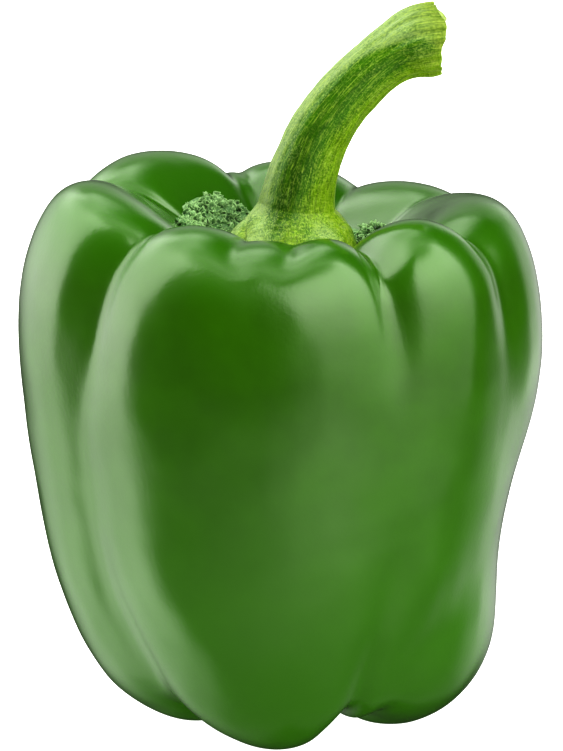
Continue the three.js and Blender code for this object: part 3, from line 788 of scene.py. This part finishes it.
# Painted shade deep in the folds, and a painted highlight on the crests.
colour = tinted(tissue, TISSUE_PAINTED_SHADE, depth, *OUT_OF_PAINTED_SHADE, lit)
colour = tinted(tissue, colour, depth, *PAINTED_HIGHLIGHT_ON_CRESTS, TISSUE_PAINTED_HIGHLIGHT)
colour = tinted(tissue, colour, grit, *PALE_GRIT, TISSUE_GRIT)
rough = node(tissue, "ShaderNodeBump", {"Height": grit, "Strength": 1.0, "Distance": GRIT_DEPTH})
dry = node(tissue, "ShaderNodeBsdfPrincipled", {
    "Base Color": colour, "Roughness": TISSUE_ROUGHNESS, "IOR": TISSUE_IOR,
    "Normal": rough.outputs["Normal"]})
node(tissue, "ShaderNodeOutputMaterial", {"Surface": dry.outputs["BSDF"]})

crust_piece, used = grown_piece("crust_tissue", [crust_grid, *cups], tissue, ring=True)
bed_painted_shade = np.full(crust_grid.shape[0] * crust_grid.shape[1], BED_PAINTED_SHADE_LEVEL)
point_values(crust_piece, "rise", np.concatenate([bed_painted_shade, cup_painted_light.ravel()])[used])
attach(crust_piece, "root")
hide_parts("calyx_crust")


# The studio floor
# A sheet of white card that runs out of view all round. It glows a little, so that it stays white
# under the pepper too, and its gloss is left to the lights.
FLOOR_HALF = 3.0  # metres
CARD_GREY = "#A0A09E"
CARD_ROUGHNESS = 0.9
CARD_GLOW = 0.92
WHITE = (1.0, 1.0, 1.0, 1.0)

card = finish_named("white_card")
paper = node(card, "ShaderNodeBsdfPrincipled", {
    "Base Color": linear(CARD_GREY), "Roughness": CARD_ROUGHNESS, "Specular IOR Level": 0.0,
    "Emission Color": WHITE, "Emission Strength": CARD_GLOW})
node(card, "ShaderNodeOutputMaterial", {"Surface": paper.outputs["BSDF"]})
floor_mesh = bpy.data.meshes.new("floor")
floor_mesh.from_pydata([
    (-FLOOR_HALF, -FLOOR_HALF, 0), (FLOOR_HALF, -FLOOR_HALF, 0),
    (FLOOR_HALF, FLOOR_HALF, 0), (-FLOOR_HALF, FLOOR_HALF, 0)], [], [(0, 1, 2, 3)])
floor_mesh.materials.append(card)
floor = bpy.data.objects.new("floor", floor_mesh)
bpy.context.scene.collection.objects.link(floor)
floor.visible_glossy = False
floor.visible_shadow = False


# The lights
# A white studio with big soft light panels: a tall box to the left, a wide panel to the right, and a
# ceiling, a back wall and a pale table that light the pepper from above, behind and below. They
# stand far off, so they're drawn in the world: each is a patch of sky with blurred edges.
world = bpy.data.worlds.new("white_room")
bpy.context.scene.world = world
world.use_nodes = True
world.node_tree.nodes.clear()


def sums(operation, *values):
    """One step of arithmetic in the world's nodes."""
    return calculate(world, operation, *values)


def soft_step(value, dark, bright):
    """Eases from 0 where the value is at dark to 1 where it's at bright."""
    return ramp(world, value, (dark, bright), shape="SMOOTHSTEP")


direction = node(world, "ShaderNodeSeparateXYZ", {
    "Vector": node(world, "ShaderNodeTexCoord").outputs["Generated"]}).outputs
sky_azimuth = sums("DEGREES", sums("ARCTAN2", direction["X"], sums("MULTIPLY", direction["Y"], -1.0)))
sky_elevation = sums("DEGREES", sums("ARCSINE", direction["Z"]))


def panel(radiance, elevation, blur, azimuth=None, side_blur=(0.0, 0.0), lean=(0.0, 0.0)):
    """A patch of light between two elevations, and between two azimuths or all round, in degrees;
    each edge eases out over its blur to both sides. Lean slants each side edge as it goes up."""
    lit = sums("MULTIPLY", soft_step(sky_elevation, elevation[0] - blur[0], elevation[0] + blur[0]),
               soft_step(sky_elevation, elevation[1] + blur[1], elevation[1] - blur[1]))
    if azimuth:
        half = (azimuth[1] - azimuth[0]) / 2
        off = sums("WRAP", sums("SUBTRACT", sky_azimuth, azimuth[0] + half), 180.0, -180.0)
        left, right = (sums("SUBTRACT", off, sums("MULTIPLY", sky_elevation, slant)) for slant in lean)
        lit = sums("MULTIPLY", lit, soft_step(left, -half - side_blur[0], -half + side_blur[0]))
        lit = sums("MULTIPLY", lit, soft_step(right, half + side_blur[1], half - side_blur[1]))
    return sums("MULTIPLY", lit, radiance)


PANELS = (
    # The tall box, left: its face, its side, its low part with a brighter edge
    panel(2.95, (-12, 73), (12, 14), azimuth=(-126, -87), side_blur=(34, 3), lean=(0, 0.4)),
    panel(1.3, (24, 52), (12, 8), azimuth=(-160, -126), side_blur=(9, 30)),
    panel(1.2, (-50, -12), (22, 12), azimuth=(-140, -91), side_blur=(26, 9), lean=(0, -0.25)),
    panel(0.7, (-50, -12), (22, 12), azimuth=(-106, -91), side_blur=(12, 9), lean=(0, -0.25)),
    # The wide panel, right, and the glow round it; then the box's top
    panel(2.6, (17, 74), (32, 10), azimuth=(17, 94), side_blur=(6, 5), lean=(-0.57, 0.2)),
    panel(0.8, (-25, 72), (10, 10), azimuth=(7, 95), side_blur=(12, 5), lean=(-0.25, 0.35)),
    panel(0.38, (50, 80), (12, 10), azimuth=(-146, -82), side_blur=(20, 8), lean=(0, 0.4)),
    # The ceiling, its back half, and a lamp on it
    panel(0.8, (78, 200), (7, 5)),
    panel(0.5, (64, 200), (12, 5), azimuth=(85, 250), side_blur=(30, 30)),
    panel(0.8, (62, 78), (8, 8), azimuth=(95, 132), side_blur=(12, 8)),
    # The back wall: low, high, its left end, its right end
    panel(1.7, (39, 56), (7, 8), azimuth=(171, 205), side_blur=(14, 20)),
    panel(1.5, (56, 71), (8, 8), azimuth=(178, 222), side_blur=(16, 20)),
    panel(0.5, (-10, 41), (10, 8), azimuth=(200, 235), side_blur=(8, 15)),
    panel(0.65, (-22, 22), (8, 16), azimuth=(134, 168), side_blur=(8, 10)),
    # A white card behind the pepper, and its foot
    panel(0.42, (9, 34), (8, 7), azimuth=(153, 215), side_blur=(8, 20)),
    panel(0.17, (-14, 9), (8, 8), azimuth=(174, 215), side_blur=(8, 20)),
    # The table: all but its shaded side, that side, and where it's lit in front and to the right
    panel(0.15, (-200, -22), (5, 8), azimuth=(195, 503), side_blur=(15, 15)),
    panel(0.03, (-200, -22), (5, 8)),
    panel(0.36, (-60, -22), (16, 8), azimuth=(-40, 70), side_blur=(45, 30)),
    panel(0.5, (-33, -14), (10, 8), azimuth=(-5, 36), side_blur=(14, 24)),
    panel(0.42, (-36, -12), (10, 8), azimuth=(112, 149), side_blur=(14, 12)),
)
glow = 0.0
for part in PANELS:
    glow = sums("ADD", glow, part)
# Seen directly, the room is plain white.
is_camera = node(world, "ShaderNodeLightPath").outputs["Is Camera Ray"]
strength = node(world, "ShaderNodeMix", {"Factor": is_camera, "A": glow, "B": 1.0})
air = node(world, "ShaderNodeBackground", {"Color": WHITE, "Strength": strength.outputs["Result"]})
node(world, "ShaderNodeOutputWorld", {"Surface": air.outputs["Background"]})


# The camera
# A long lens in front, a little above the pepper, as the photograph was taken. The picture gets the
# photograph's contrast and brightness.
PHOTO_WIDTH, PHOTO_HEIGHT = 563, 751
CAMERA_ELEVATION = math.radians(14)
CAMERA_DISTANCE = 750.0  # to the foot of the pod's axis
PIXELS_PER_MM = 5.674  # there
AXIS_FOOT_PIXEL = (297, 716)
SENSOR = 36.0
PRINT_GAMMA = 0.67
PRINT_EXPOSURE = 0.39

forward = np.array([0, math.cos(CAMERA_ELEVATION), -math.sin(CAMERA_ELEVATION)])
upward = np.array([0, math.sin(CAMERA_ELEVATION), math.cos(CAMERA_ELEVATION)])
across_mm = (AXIS_FOOT_PIXEL[0] - PHOTO_WIDTH / 2) / PIXELS_PER_MM
up_mm = (PHOTO_HEIGHT / 2 - AXIS_FOOT_PIXEL[1]) / PIXELS_PER_MM
position = AXIS - forward * CAMERA_DISTANCE - np.array([across_mm, 0, 0]) - upward * up_mm
camera_data = bpy.data.cameras.new("camera")
camera_data.sensor_fit = "VERTICAL"
camera_data.sensor_height = SENSOR
camera_data.lens = PIXELS_PER_MM * CAMERA_DISTANCE * SENSOR / PHOTO_HEIGHT
camera = bpy.data.objects.new("camera", camera_data)
camera.location = position * MM
camera.rotation_euler = (math.pi / 2 - CAMERA_ELEVATION, 0, 0)
bpy.context.scene.collection.objects.link(camera)
bpy.context.scene.camera = camera
view = bpy.context.scene.view_settings
view.view_transform = "Standard"
view.gamma = PRINT_GAMMA
view.exposure = PRINT_EXPOSURE
